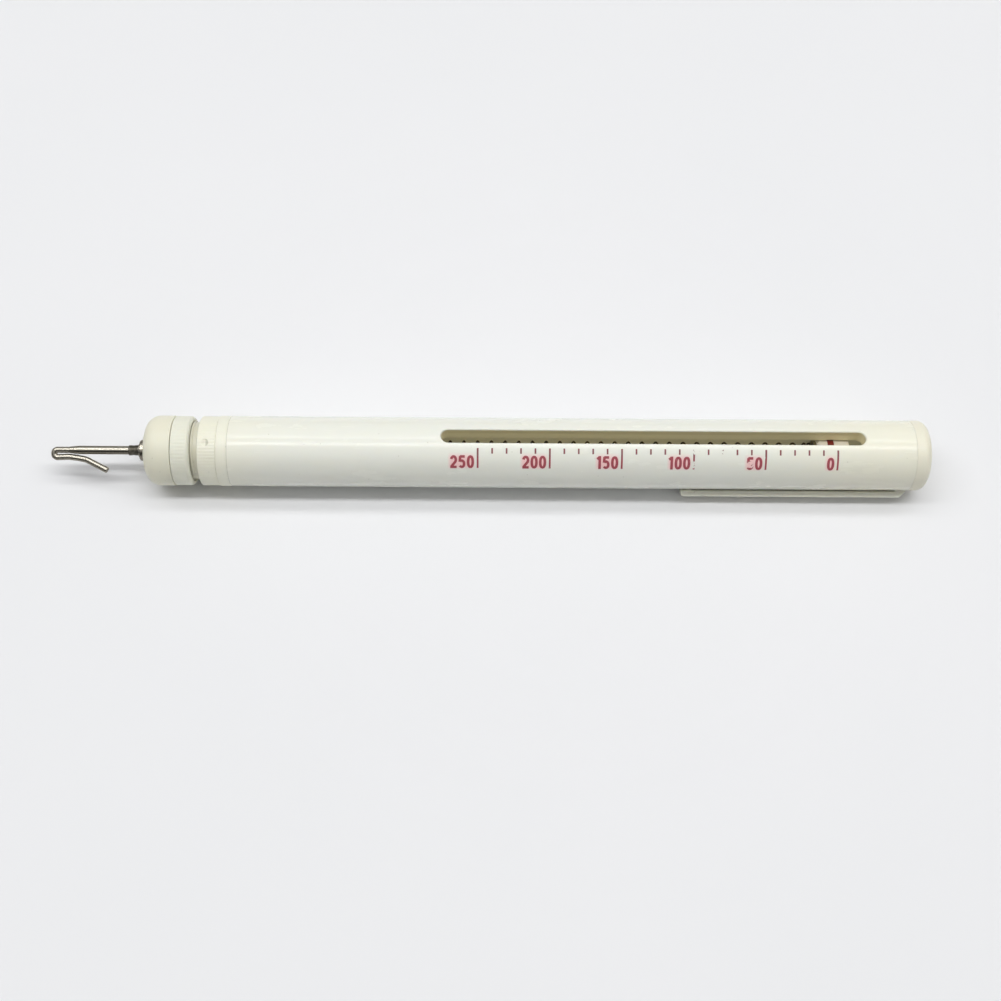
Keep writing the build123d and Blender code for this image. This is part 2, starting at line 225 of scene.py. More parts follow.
# Room, floor, lamps and camera, in metres. A room tone comes with its place on the way up.
room_dim = 0.35, (0.078, 0.078, 0.075, 1.0)
room_bright = 0.82, (0.485, 0.487, 0.485, 1.0)
floor_size = 3.0
lamp_length = 2.6
lamp_distance = 1.3
middle_x = -0.08643
camera_place = (middle_x, -0.13062, 0.23914)
camera_right, camera_up = (1.0, 0.0032, 0.0083), (-0.0066, 0.8939, 0.4482)
camera_ahead = (0.006, 0.4483, -0.8939)


def unit(vectors):
    """Each vector of an array, divided by its own length."""
    return vectors / np.maximum(np.linalg.norm(vectors, axis=-1, keepdims=True), 1e-12)


def outline(corners, steps=5, edge=0.06):
    """The closed line through corners (x, r, rounding) and the outward direction at its points.
    Each corner becomes an arc of its rounding that touches both sides. The arc's middle lies inside
    the corner by the sum of both sides' outward directions, times rounding / (1 + their product),
    and the outward direction swings evenly from one side's to the other's."""
    table = np.array([(*corner, edge)[:3] for corner in corners], float)
    here, rounding = table[:, :2], table[:, 2:]
    side = np.roll(here, -1, 0) - here
    twice_area = np.sum(here[:, 0] * np.roll(here[:, 1], -1) - np.roll(here[:, 0], -1) * here[:, 1])
    after = unit(np.stack([side[:, 1], -side[:, 0]], 1)) * np.sign(twice_area)
    before = np.roll(after, 1, 0)
    product = np.sum(before * after, 1)
    turn = np.arctan2(before[:, 0] * after[:, 1] - before[:, 1] * after[:, 0], product)
    bulge = np.where(turn * twice_area >= 0, 1.0, -1.0)[:, None] * rounding
    swing = np.arctan2(before[:, 1], before[:, 0])[:, None] + turn[:, None] * np.linspace(0, 1, steps + 1)
    outward = np.stack([np.cos(swing), np.sin(swing)], 2)
    middle = here - bulge * (before + after) / (1 + product[:, None])
    line = middle[:, None] + bulge[:, None] * outward
    line, outward = line.reshape(-1, 2), outward.reshape(-1, 2)
    return np.vstack([line, line[:1]]), np.vstack([outward, outward[:1]])


def finer(line, outward, step, above):
    """The same line with its sides above that radius cut into lengths of at most step."""
    lengths = np.linalg.norm(np.diff(line, axis=0), axis=1)
    high = np.minimum(line[:-1, 1], line[1:, 1]) > above
    cuts = np.where(high, np.ceil(lengths / step), 1).astype(int).clip(1)
    segment = np.repeat(np.arange(len(cuts)), cuts)
    share = (np.arange(cuts.sum()) - np.repeat(np.cumsum(cuts) - cuts, cuts)) / np.repeat(cuts, cuts)
    stations = np.append(segment + share, len(cuts))
    numbers = np.arange(len(line))

    def filled(part):
        return np.stack([np.interp(stations, numbers, part[:, k]) for k in (0, 1)], 1)

    return filled(line), unit(filled(outward))


def sampled(line, step):
    """The same line with points at even distances of about step along it."""
    length = np.append(0, np.cumsum(np.linalg.norm(np.diff(line, axis=0), axis=1)))
    stations = np.linspace(0, length[-1], max(2, math.ceil(length[-1] / step)) + 1)
    return np.stack([np.interp(stations, length, line[:, k]) for k in range(line.shape[1])], 1)


def spun(line, angle):
    """Points (x, r) turned about X by each angle: x stays, y = -r sin(angle), z = r cos(angle)."""
    x, r, angle = np.broadcast_arrays(line[:, None, 0], line[:, None, 1], np.atleast_2d(angle))
    return np.stack([x, -r * np.sin(angle), r * np.cos(angle)], -1)


def turned(corners, columns=96, steps=5):
    """A grid of the closed outline, turned a full turn about X, with its outward directions."""
    line, outward = outline(corners, steps)
    angle = np.linspace(0, FULL_TURN, columns + 1)
    return spun(line, angle), spun(outward, angle)


def facing(points, like):
    """Outward directions of a grid: across its rows and columns, on the side that like points to."""
    square = unit(np.cross(np.gradient(points, axis=0), np.gradient(points, axis=1)))
    return square * np.where(np.sum(square * like, -1, keepdims=True) < 0, -1, 1)


def bent(line, outward, path, side, columns):
    """The outline (s, r) turned about X and then bent along a path: s runs along the path, and r
    points out of it, at every angle between side and the third direction, square to both."""
    length = np.append(0, np.cumsum(np.linalg.norm(np.diff(path, axis=0), axis=1)))
    ahead = unit(np.gradient(path, length, axis=0))
    side = np.broadcast_to(side, path.shape)

    def carried(values):
        return np.stack([np.interp(line[:, 0], length, values[:, k]) for k in range(3)], 1)

    middle, ahead, side = carried(path), unit(carried(ahead)), carried(side)
    side = unit(side - ahead * np.sum(side * ahead, 1, keepdims=True))
    third = np.cross(ahead, side)
    angle = np.linspace(0, FULL_TURN, columns + 1)[None, :, None]
    around = np.cos(angle) * side[:, None] + np.sin(angle) * third[:, None]
    points = middle[:, None] + line[:, None, 1:] * around
    return points, outward[:, None, :1] * ahead[:, None] + outward[:, None, 1:] * around


def piece(name, sheets, body, slot, finish, *nodes, caps=()):
    """Makes one mesh of grids. Neighbouring grid points are the corners of faces. Points that share a
    place become one, which closes seams and poles, and faces that this leaves without area go. A face
    whose own direction is against the outward directions at its corners is turned over. The caps are
    flat rings of points, each with its outward direction, and each closed by one face. The mesh also
    keeps, for the painted dark reflection on metal, how far it faces the low side at each point."""
    rings = [ring for ring, _ in caps]
    points = np.concatenate([grid.reshape(-1, 3) for grid, _ in sheets] + rings)
    outward = np.concatenate([way.reshape(-1, 3) for _, way in sheets] + [0 * ring for ring in rings])
    starts = np.cumsum([0] + [way[..., 0].size for _, way in sheets] + [len(ring) for ring in rings])
    quads = []
    for start, (grid, _) in zip(starts, sheets):
        index = start + np.arange(grid[..., 0].size).reshape(grid.shape[:2])
        corners = (index[:-1, :-1], index[1:, :-1], index[1:, 1:], index[:-1, 1:])
        quads.append(np.stack(corners, -1).reshape(-1, 4))
    keys = np.floor(points / WELD + 0.37).astype(np.int64)
    _, first, welded = np.unique(keys, axis=0, return_index=True, return_inverse=True)
    welded = welded.reshape(-1)
    ways = np.zeros((len(first), 3))
    np.add.at(ways, welded, outward)
    points, ways = points[first], unit(ways)
    quads = welded[np.concatenate(quads)]
    same = quads == np.roll(quads, 1, axis=1)
    doubled = same.sum(1)
    triangles = quads[doubled == 1][~same[doubled == 1]].reshape(-1, 3)
    faces = []
    for group in (quads[doubled == 0], triangles):
        one, two, three, last = (points[group[:, k]] for k in (0, 1, 2, -1))
        across = np.cross(three - one, last - two)
        over = np.sum(across * ways[group].sum(1), 1) < 0
        group = np.where(over[:, None], group[:, ::-1], group)
        faces += group[np.linalg.norm(across, axis=1) > 1e-9].tolist()
    for start, (ring, way) in zip(starts[len(sheets):], caps):
        looks = np.cross(ring, np.roll(ring, -1, 0)).sum(0) @ way
        faces.append(welded[start:start + len(ring)][::1 if looks > 0 else -1].tolist())
    used = np.unique(np.concatenate([np.ravel(face) for face in faces]))
    renumber = np.zeros(len(points), int)
    renumber[used] = np.arange(len(used))
    faces = [[int(renumber[k]) for k in face] for face in faces]
    mesh = bpy.data.meshes.new(name)
    mesh.from_pydata((points[used] * MM).tolist(), [], faces, shade_flat=False)
    mesh.normals_split_custom_set_from_vertices(ways[used].tolist())
    mesh.attributes.new("low_side", "FLOAT", "POINT").data.foreach_set("value", ways[used] @ low_side)
    mesh.materials.append(finish)
    made = bpy.data.objects.new(name, mesh)
    bpy.context.scene.collection.objects.link(made)
    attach(made, body)
    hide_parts(*nodes)
    return made


class Level:
    """One socket of a finish. Arithmetic on it adds a Math node and gives that node's result."""

    def __init__(self, finish, socket):
        self.finish, self.socket = finish, socket

    def __add__(self, other):
        return self.finish.maths("ADD", self, other)

    def __sub__(self, other):
        return self.finish.maths("SUBTRACT", self, other)

    def __rsub__(self, other):
        return self.finish.maths("SUBTRACT", other, self)

    def __mul__(self, other):
        return self.finish.maths("MULTIPLY", self, other)

    def __pow__(self, other):
        return self.finish.maths("POWER", self, other)

    __radd__ = __add__
    __rmul__ = __mul__


class Finish:
    """The node tree of one material. Lengths in it are millimetres of the object."""

    def __init__(self, name):
        self.material = bpy.data.materials.new(name)
        self.material.use_nodes = True
        self.tree = self.material.node_tree
        self.tree.nodes.clear()
        metres = self.node("ShaderNodeTexCoord", output="Object")
        self.place = self.node("ShaderNodeVectorMath", {"operation": "SCALE"}, {0: metres, "Scale": 1 / MM})
        split = self.node("ShaderNodeSeparateXYZ", {}, {0: self.place}, None)
        self.x, self.y, self.z = (Level(self, split.outputs[k]) for k in range(3))

    def node(self, kind, settings=None, sockets=None, output=0):
        """Adds a node: first its settings, then the values or links of its sockets."""
        made = self.tree.nodes.new(kind)
        for key, value in (settings or {}).items():
            setattr(made, key, value)
        for key, value in (sockets or {}).items():
            if isinstance(value, Level):
                self.tree.links.new(value.socket, made.inputs[key])
            else:
                made.inputs[key].default_value = value
        return made if output is None else Level(self, made.outputs[output])

    def maths(self, operation, one, two):
        return self.node("ShaderNodeMath", {"operation": operation}, {0: one, 1: two})

    def radius(self):
        """Distance from the barrel's axis."""
        return (self.y * self.y + self.z * self.z) ** 0.5

    def away(self, x, turn, radius):
        """Distance from the point at x, at that angle and radius round the barrel's axis."""
        along = self.x - x
        across = self.y + radius * math.sin(turn)
        up = self.z - radius * math.cos(turn)
        return (along * along + across * across + up * up) ** 0.5

    def step(self, value, low, high):
        """0 below low and 1 above high, with a smooth rise between them."""
        limits = {"Value": value, "From Min": low, "From Max": high, "To Min": 0.0, "To Max": 1.0}
        return self.node("ShaderNodeMapRange", {"interpolation_type": "SMOOTHSTEP"}, limits)

    def between(self, value, low, high, soft):
        """1 from low to high, and 0 past them by more than soft."""
        return self.step(value, low - soft, low) * (1 - self.step(value, high, high + soft))

    def cloud(self, per_mm, detail=3.0, stretch=(1.0, 1.0, 1.0)):
        """Soft noise with that many lumps to the millimetre, drawn out where stretch is under 1."""
        drawn = self.node("ShaderNodeVectorMath", {"operation": "MULTIPLY"}, {0: self.place, 1: stretch})
        sockets = {"Vector": drawn, "Scale": per_mm, "Detail": detail, "Roughness": 0.55}
        return self.node("ShaderNodeTexNoise", {}, sockets, "Fac")

    def pits(self, per_mm):
        """Distance to the nearest of many scattered points, in spacings."""
        return self.node("ShaderNodeTexVoronoi", {}, {"Vector": self.place, "Scale": per_mm}, "Distance")

    def wear(self):
        """Rubbed patches and hair scratches, both drawn out along the barrel."""
        rubbed = self.step(self.cloud(0.35, 5.0, (0.35, 1.0, 1.0)), 0.42, 0.68)
        scratches = self.step(self.cloud(3.5, 2.0, (0.04, 1.0, 1.0)), 0.66, 0.74)
        return rubbed, scratches

    def mix(self, share, colour_at_0, colour_at_1):
        sockets = {0: share, 6: colour_at_0, 7: colour_at_1}
        return self.node("ShaderNodeMix", {"data_type": "RGBA"}, sockets, 2)

    def relief(self, height, depth, strength=1.0):
        """Normals of a surface that rises by depth millimetres where height is 1."""
        sockets = {"Strength": strength, "Distance": depth * MM, "Height": height}
        return self.node("ShaderNodeBump", {}, sockets)

    def surface(self, **sockets):
        """Ends the tree in one principled shader. Underscores in the socket names stand for spaces."""
        values = {key.replace("_", " "): value for key, value in sockets.items()}
        shader = self.node("ShaderNodeBsdfPrincipled", {}, values)
        output = self.tree.nodes.new("ShaderNodeOutputMaterial")
        self.tree.links.new(shader.socket, output.inputs["Surface"])
        return self.material


def tone(red, green, blue):
    """A screen colour from 0 to 255, as the linear colour that a shader takes."""
    screen = np.array([red, green, blue]) / 255
    linear = np.where(screen > 0.04045, ((screen + 0.055) / 1.055) ** 2.4, screen / 12.92)
    return (*linear.tolist(), 1.0)


def plastic(finish, clean, aged, age, gloss, coat, depth, darkening=None, dirt_and_shade_tone=tone(120, 112, 84)):
    """Moulded plastic: clean colour that turns to the aged one where age says, with faint flow
    clouds, rubbed patches, hair scratches along the barrel, and a slight ripple of the mould."""
    clouds = finish.cloud(0.12, 4.0, (0.5, 1.0, 1.0))
    colour = finish.mix(finish.step(age + (clouds - 0.5) * 0.5, 0.0, 1.0), clean, aged)
    specks = 1 - finish.step(finish.pits(0.45), 0.03, 0.055)
    colour = finish.mix(specks * 0.35, colour, dirt_and_shade_tone)
    # Darkening towards the dark tone: the knurled neck passes its painted shade and the darkening between
    # its ribs here
    if darkening is not None:
        colour = finish.mix(darkening, colour, dirt_and_shade_tone)
    rubbed, scratches = finish.wear()
    roughness = gloss + rubbed * 0.08 + scratches * 0.08
    ripple = finish.cloud(0.8, 2.0) * 0.75 + finish.cloud(9.0, 2.0) * 0.05 - scratches * 0.12
    return finish.surface(
        Base_Color=colour,
        Roughness=roughness,
        IOR=1.49,
        Coat_Weight=coat - rubbed * coat * 0.5,
        Coat_Roughness=0.07,
        Subsurface_Weight=0.12,
        Subsurface_Radius=(1.0, 0.8, 0.5),
        Subsurface_Scale=0.0012,
        Normal=finish.relief(ripple, depth),
    )


def ends_age(finish):
    """1 at both ends of the barrel, where the plastic has yellowed, and 0 between them."""
    rear = finish.step(finish.x, -48.0, -6.0)
    front = 1 - finish.step(finish.x, -140.0, -122.0)
    return rear * 0.85 + front * 0.55


def barrel_finish():
    """Aged white plastic outside, stained pink where the red of the numbers has bled into it. The cut
    walls of the window and the bore are cream, with a faint painted glow for light that soaks
    through the plastic."""
    finish = Finish("barrel_plastic")
    inside = 1 - finish.step(finish.radius(), barrel_radius - 0.42, barrel_radius - 0.16)
    stain = 0
    for count in range(scale_major_count):
        tick = scale_zero_x - count * scale_major_step
        number = str(count * scale_units_per_major)
        inset = one_inset if number.startswith("1") else 0
        left = tick - 0.1 - digit_pitch * len(number) + inset
        stain = finish.between(finish.x, left, tick - 1.2, 1.0) + stain
    stain = stain * finish.between(finish.z, 4.55, 5.5, 0.8) * (1 - finish.step(finish.y, -0.1, 0.0))
    seam_dirt = finish.between(finish.x, barrel_rear - 0.1, barrel_rear + 0.1, 0.1) * 0.12
    front_dirt = finish.between(finish.x, barrel_front - 0.1, barrel_front + 0.1, 0.1) * 0.2
    clean, aged, cut = tone(239, 240, 230), tone(243, 241, 223), tone(232, 221, 180)
    clouds = finish.cloud(0.12, 4.0, (0.5, 1.0, 1.0))
    colour = finish.mix(finish.step(ends_age(finish) + (clouds - 0.5) * 0.3, 0.0, 1.0), clean, aged)
    specks = 1 - finish.step(finish.pits(0.45), 0.03, 0.06)
    colour = finish.mix(stain * 0.85, colour, tone(252, 206, 205))
    colour = finish.mix(specks * 0.3 + seam_dirt + front_dirt, colour, tone(122, 112, 82))
    colour = finish.mix(inside, colour, cut)
    rubbed, scratches = finish.wear()
    ripple = finish.cloud(0.7, 2.0) * 0.8 - scratches * 0.12
    return finish.surface(
        Base_Color=colour,
        Roughness=0.22 + rubbed * 0.06 + scratches * 0.06 + inside * 0.35,
        IOR=1.49,
        Specular_IOR_Level=0.35,
        Coat_Weight=(0.22 - rubbed * 0.09) * (1 - inside),
        Coat_Roughness=0.07,
        Subsurface_Weight=0.1,
        Subsurface_Radius=(1.0, 0.8, 0.5),
        Subsurface_Scale=0.001,
        # Painted glow on the cut walls and the bore, for light that soaks through the plastic
        Emission_Color=finish.mix(inside, (0.0, 0.0, 0.0, 1.0), wall_glow),
        Emission_Strength=1.0,
        Normal=finish.relief(ripple, 0.002),
    )


def knurl_finish():
    """Cream plastic, darker in clouds between the ribs, with painted shade on the recessed neck round
    the thread, most next to the lock ring, and a painted shadow in the dimple's rear half.
    """
    finish = Finish("collar_plastic")
    low = 1 - finish.step(finish.radius(), collar_radius - 0.08, collar_radius - 0.01)
    neck = 1 - finish.step(finish.radius(), neck_crest_radius - 0.05, neck_crest_radius + 0.1)
    near_ring = 1 - finish.step(finish.x, ring_rear + 0.3, collar_front - 0.1)
    from_dimple = finish.away(dimple_x, math.radians(dimple_angle), collar_radius)
    rear_half = finish.step(finish.x, dimple_x + 0.05, dimple_x + 0.3)
    crescent = finish.between(from_dimple, 0.25, 0.7, 0.1) * rear_half
    # Painted shade: the recessed neck is darker, most next to the lock ring, and a painted shadow crescent
    # lies in the dimple's rear half
    ribs_and_painted_shade = low * finish.cloud(1.5, 3.0) * 0.06 + neck * (0.22 + near_ring * 0.16) + crescent * 0.3
    return plastic(finish, tone(241, 240, 224), tone(240, 238, 217), 0.45, 0.36, 0.1, 0.004, darkening=ribs_and_painted_shade)


def liner_finish():
    """Satin cream plastic that is seen through the window, with rubbed streaks along the bore and a
    faint painted glow all over for light that soaks through the plastic.
    """
    finish = Finish("liner_plastic")
    streaks = finish.cloud(0.9, 4.0, (0.05, 1.0, 1.0))
    colour = finish.mix(streaks, tone(226, 214, 172), tone(236, 226, 188))
    return finish.surface(
        Base_Color=colour, Roughness=0.5 + streaks * 0.15, IOR=1.48,
        # Painted glow, for light that soaks through the plastic into the window
        Emission_Color=liner_glow, Emission_Strength=1.0,
        Normal=finish.relief(streaks, 0.01))


def drawn_metal(name, bright, dull, roughness, lines=0.35, tarnish=0.5, painted_reflection=0.0):
    """Metal with fine lines along X from drawing or turning, soft tarnish spots, and a painted dark
    reflection in a brown tone on its low side."""
    finish = Finish(name)
    grain = finish.cloud(7.0, 2.0, (0.03, 1.0, 1.0))
    spots = finish.step(finish.cloud(0.8, 4.0), 0.45, 0.72) * tarnish
    low = finish.node("ShaderNodeAttribute", {"attribute_name": "low_side"}, {}, "Fac")
    # Painted reflection: the side that faces down and towards -Y is mixed towards a dark brown, for the
    # dark reflection it picks up
    reflection_share = finish.step(low + (grain - 0.5) * 0.06, -0.12, 0.34) * painted_reflection
    return finish.surface(
        Base_Color=finish.mix(reflection_share, finish.mix(spots, bright, dull), low_side_reflection_tone),
        Metallic=1.0,
        Specular_Tint=(0.45, 0.43, 0.4, 1.0),
        Roughness=roughness + grain * lines * 0.2 + spots * 0.14,
        Normal=finish.relief(grain, 0.002, lines))


def sleeve_finish():
    """Blackened sleeve, worn to a dull grey in spots."""
    finish = Finish("sleeve_blackened")
    worn = finish.step(finish.cloud(2.0, 4.0), 0.5, 0.7)
    return finish.surface(
        Base_Color=finish.mix(worn, tone(84, 80, 69), tone(114, 109, 97)),
        Metallic=0.7, Roughness=0.4 + worn * 0.1,
        Normal=finish.relief(finish.cloud(3.0), 0.01))


def red_finish():
    """Glossy red plastic, a little darker in the clouds of its colour."""
    return plastic(
        Finish("index_plastic"), tone(124, 28, 25), tone(94, 20, 18),
        age=0.4, gloss=0.3, coat=0.4, depth=0.004, dirt_and_shade_tone=tone(90, 20, 24))


def ink_finish(name, deep, pale, upper):
    """Red printing ink, thinner in grains, and rubbed off in patches at the 5 of 50 and at the ticks of
    80 and 100. The upper tone is that of its part next to the window."""
    finish = Finish(name)
    grain = finish.cloud(5.0, 4.0)
    colour = finish.mix(finish.step(finish.z, 5.2, 6.2), finish.mix(grain, deep, pale), upper)
    patch = 0
    for x, angle, size in worn_places:
        away = finish.away(x, math.radians(angle), barrel_radius)
        patch = (1 - finish.step(away, size * 0.55, size)) + patch
    lost = finish.step(grain + patch * 0.3, 0.67, 0.73)
    return finish.surface(
        Base_Color=colour,
        Roughness=0.38 + grain * 0.1, IOR=1.5, Coat_Weight=0.25, Coat_Roughness=0.1, Alpha=1 - lost)


def slotted_tube(front, rear, bore, radius, slot_width, slot_front, slot_rear, edge, rim):
    """The grids of a tube with a round-ended slot on top, cut straight down.
    Columns go round the slot. A column starts at the tube's end or its lowest line, runs over the
    outside to the slot (the unrolled plane is shared out evenly), rounds the slot's edge, drops
    down its wall, and runs back over the bore. Both end faces are turned strips."""
    along, across, corner, steps = 64, 80, 6, 5
    inner_edge = 0.08
    half = slot_width / 2
    middle_front, middle_rear = slot_front + half, slot_rear - half
    swing = np.linspace(math.pi / 2, -math.pi / 2, across + 2 * corner + 1)
    straight = np.linspace(middle_front, middle_rear, along + 1)[1:-1]

    def end_targets(end, start):
        side = np.linspace(start, end, corner + 1)[:-1]
        x = np.concatenate([side, np.full(across + 1, end), side[::-1]])
        turn = np.concatenate([np.full(corner, math.pi), np.linspace(math.pi, -math.pi, across + 1),
                               np.full(corner, -math.pi)])
        return x, turn

    def columns(shrink):
        rear_x, rear_turn = end_targets(rear - shrink, middle_rear)
        front_x, front_turn = end_targets(front + shrink, middle_front)
        x = np.concatenate([straight, rear_x, straight[::-1], front_x[::-1]])
        turn = np.concatenate([np.full(len(straight), math.pi), rear_turn,
                               np.full(len(straight), -math.pi), front_turn[::-1]])
        return np.append(x, x[0]), np.append(turn, turn[0])

    zero = np.zeros(len(straight))
    anchor = np.concatenate([straight, np.full(len(swing), middle_rear), straight[::-1],
                             np.full(len(swing), middle_front)])
    way_x = np.concatenate([zero, np.cos(swing), zero, -np.cos(swing)])
    way_side = np.concatenate([zero + 1, np.sin(swing), zero - 1, np.sin(swing[::-1])])
    anchor, way_x, way_side = (np.append(part, part[0]) for part in (anchor, way_x, way_side))

    def skin(level, shrink, start, shares):
        end_x, end_turn = columns(shrink)
        near_x = anchor + way_x * (half + start)
        near_turn = np.arcsin(way_side * (half + start) / level)
        x = near_x + (end_x - near_x) * shares[:, None]
        turn = near_turn + (end_turn - near_turn) * shares[:, None]
        radial = np.stack([x * 0, -np.sin(turn), np.cos(turn)], -1)
        return radial * level + np.stack([x, x * 0, x * 0], -1), radial

    def lip(level, rounding, sign, tilt):
        offset = half + rounding * (1 - np.sin(tilt))[:, None]
        x, side = anchor + way_x * offset, way_side * offset
        height = np.sqrt(level ** 2 - side ** 2) - sign * rounding * (1 - np.cos(tilt))[:, None]
        radial = np.stack([x * 0, -side / level, np.sqrt(level ** 2 - side ** 2) / level], -1)
        into = np.stack([-way_x, way_side, way_x * 0], -1)[None]
        cos, sin = np.cos(tilt)[:, None, None], np.sin(tilt)[:, None, None]
        return np.stack([x, -side, height], -1), unit(sign * radial * cos + into * sin)

    shares = np.linspace(1, 0, 41) ** 1.15
    quarter = np.linspace(0, math.pi / 2, 8)[1:]
    rows = [
        skin(radius, rim, edge, shares),
        lip(radius, edge, 1, quarter),
        lip(bore, inner_edge, -1, quarter[::-1]),
        skin(bore, inner_edge, inner_edge, shares[::-1]),
    ]
    rows[3] = (rows[3][0], -rows[3][1])
    body = (np.concatenate([grid for grid, _ in rows]), np.concatenate([way for _, way in rows]))
    sheets = [body]
    middle = (front + rear) / 2
    for end in (front, rear):
        corners = [(middle, radius, 0), (end, radius, rim), (end, bore, inner_edge), (middle, bore, 0)]
        line, outward = outline(corners, steps)
        strip = slice(steps + 1, 3 * (steps + 1))
        angle = np.linspace(math.pi, -math.pi, across + 1)
        sheets.append((spun(line[strip], angle), spun(outward[strip], angle)))
    return sheets


def ribbed(corners, ribs, radius, depth, per_rib=6, step=0.0, above=0.0, steps=4):
    """The line, outward directions, angles and radii of a turned grid whose outside is cut down by
    rounded grooves: a radius is the lesser of the outline's own and of radius minus depth times the
    square of (half + half of the cosine of ribs times the angle)."""
    line, outward = outline(corners, steps)
    if step:
        line, outward = finer(line, outward, step, above)
    angle = np.linspace(0, FULL_TURN, ribs * per_rib + 1)
    groove = radius - depth * (0.5 + 0.5 * np.cos(ribs * angle)) ** 2
    return line, outward, angle, np.minimum(line[:, 1:], groove)


def wrapped(x, r, angle, outward):
    """The grid of those places and radii at those angles, facing the outline's outward side."""
    points = np.stack([x, -r * np.sin(angle), r * np.cos(angle)], -1)
    return points, facing(points, spun(outward, angle))


def neck_collar():
    """Knurled ring, threaded neck and rear spigot as one grid. The thread is a ridge on the neck:
    its height follows the cosine of the turns counted from the thread's end, flattened on top. A
    shallow bowl is sunk in the knurl."""
    corners = [
        (collar_rear, neck_bore), (collar_rear, neck_spigot, 0.12), (bush_front, neck_spigot),
        (bush_front, collar_radius, 0.25), (collar_front, collar_radius, 0.3),
        (collar_front, neck_root, 0.1), (neck_front, neck_root, 0.25), (neck_front, neck_bore, 0.15),
    ]
    line, outward, angle, r = ribbed(
        corners, collar_ribs, collar_radius, collar_rib_depth, step=0.09, above=neck_spigot + 0.3)
    x = np.broadcast_to(line[:, :1], r.shape)
    back = (math.radians(thread_end_angle) - angle) % FULL_TURN
    turns = (x - thread_end) / thread_pitch + back / FULL_TURN
    crest = np.clip((np.cos(FULL_TURN * turns) + 0.5) / 1.4, 0, 1)
    crest = crest * crest * (3 - 2 * crest) * (turns < 0.5)
    room = np.clip((x - neck_front) / 0.5, 0, 1) * np.where(turns < -0.5, 1, np.clip(back / 0.08, 0, 1))
    on_neck = (line[:, 1:] > neck_root - 0.3) & (x < collar_front - 0.05)
    r = r + np.where(on_neck, crest * room * (neck_crest_radius - neck_root), 0)
    near = np.hypot(x - dimple_x, collar_radius * (angle - math.radians(dimple_angle)))
    bowl = np.clip(1 - (near / dimple_radius) ** 2, 0, 1)
    r = r - np.where(line[:, 1:] > collar_radius - 0.3, bowl * dimple_depth, 0)
    return [wrapped(x, r, angle, outward)]


def lock_ring():
    """The finely ribbed ring, well rounded at its rear edge."""
    corners = [
        (ring_rear, thread_bore), (ring_rear, ring_radius, ring_rear_round),
        (ring_front, ring_radius, 0.14), (ring_front, thread_bore),
    ]
    line, outward, angle, r = ribbed(corners, ring_ribs, ring_radius, ring_rib_depth, per_rib=8, steps=7)
    return [wrapped(np.broadcast_to(line[:, :1], r.shape), r, angle, outward)]


def hook():
    """The bent wire: straight shank, tight bend, a leg that nears the shank and flares out."""
    bend_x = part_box("hook")[0].x / MM + wire_radius
    line = outline([(bend_x + back, drop, rounding) for back, drop, rounding in hook_route], 12)[0][:-1]
    line = line[np.append(True, np.linalg.norm(np.diff(line, axis=0), axis=1) > WELD)]
    turn = math.radians(hook_plane_angle)
    path = np.stack([line[:, 0], -line[:, 1] * math.sin(turn), line[:, 1] * math.cos(turn)], 1)
    length = np.linalg.norm(np.diff(path, axis=0), axis=1).sum()
    corners = [(0, 0, 0), (0, wire_radius, 0.02), (length, wire_radius, 0.24), (length, 0, 0)]
    line, outward = finer(*outline(corners), 0.11, wire_radius - 0.05)
    side = np.array([0.0, -math.cos(turn), -math.sin(turn)])
    return [bent(line, outward, path, side, 20)]


def spring():
    """The wire of the compression spring, bent along a helix whose first and last turns lie closer."""
    steps_per_half_turn = 16
    start, end = spring_front + spring_wire_radius, spring_rear - spring_wire_radius
    body_pitch = 2 * (end - start - end_half_turns * end_pitch) / body_half_turns
    closed = np.full(end_half_turns, end_pitch)
    pitches = np.concatenate([closed, np.full(body_half_turns, body_pitch), closed])
    places = start + np.append(0, np.cumsum(pitches / 2))
    steps = len(pitches) * steps_per_half_turn
    count = np.linspace(0, len(pitches), steps + 1)
    angle = math.radians(90 + spring_start_angle) + count * math.pi
    side = np.stack([angle * 0, np.cos(angle), np.sin(angle)], 1)
    path = side * (spring_radius - spring_wire_radius)
    path[:, 0] = np.interp(count, np.arange(len(places)), places)
    length = np.linalg.norm(np.diff(path, axis=0), axis=1).sum()
    corners = [
        (0, 0, 0), (0, spring_wire_radius, spring_wire_round),
        (length, spring_wire_radius, spring_wire_round), (length, 0, 0),
    ]
    line, outward = finer(*outline(corners, 3), length / steps, spring_wire_radius - 0.02)
    return [bent(line, outward, path, side, 10)]


